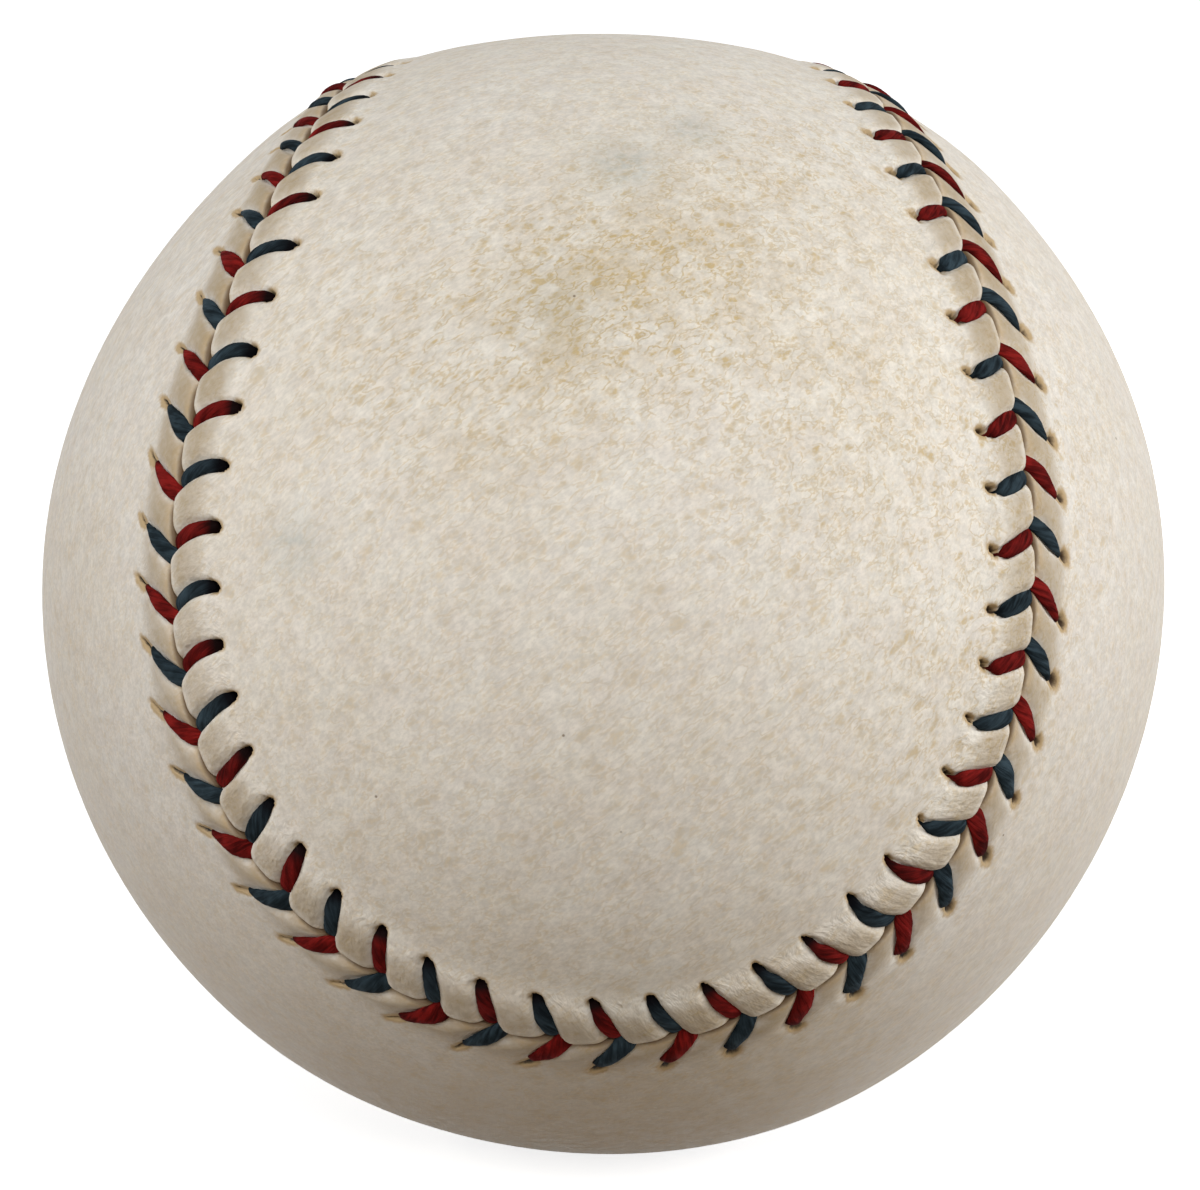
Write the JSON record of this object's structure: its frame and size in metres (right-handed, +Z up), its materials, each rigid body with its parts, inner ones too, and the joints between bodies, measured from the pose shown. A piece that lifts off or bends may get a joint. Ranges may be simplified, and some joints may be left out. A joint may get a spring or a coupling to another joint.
{
  "type": "baseball",
  "caption": "Hand-sewn ball: two leather panels joined by a red and a blue thread over yarn windings and a cushioned cork centre.",
  "frame": {"origin": "centre of the ball", "axes": "+Z is up as the ball lies in the picture; the camera looks along +Y at a lobe of panel A, whose seam runs down the left, round the bottom and up the right; the ball is rolled 30 degrees about X from the pose with a waist of panel A on top"},
  "size_m": [0.0742, 0.0742, 0.0747],
  "materials": {
    "cork": "matte",
    "black_rubber": "matte",
    "red_rubber": "matte",
    "grey_wool": "matte",
    "white_wool": "matte",
    "cotton": "matte",
    "cover_leather": "satin",
    "red_thread": "matte",
    "blue_thread": "matte"
  },
  "bodies": {
    "root": {"cork_core": "cork", "black_rubber_half_a": "black_rubber", "black_rubber_half_b": "black_rubber", "rubber_washer": "red_rubber", "red_rubber_cover": "red_rubber", "wool_winding_inner": "grey_wool", "wool_winding_middle": "white_wool", "wool_winding_outer": "grey_wool", "cotton_winding": "cotton", "cover_panel_a": "cover_leather", "cover_panel_b": "cover_leather", "red_thread": "red_thread", "blue_thread": "blue_thread"}
  },
  "joints": []
}
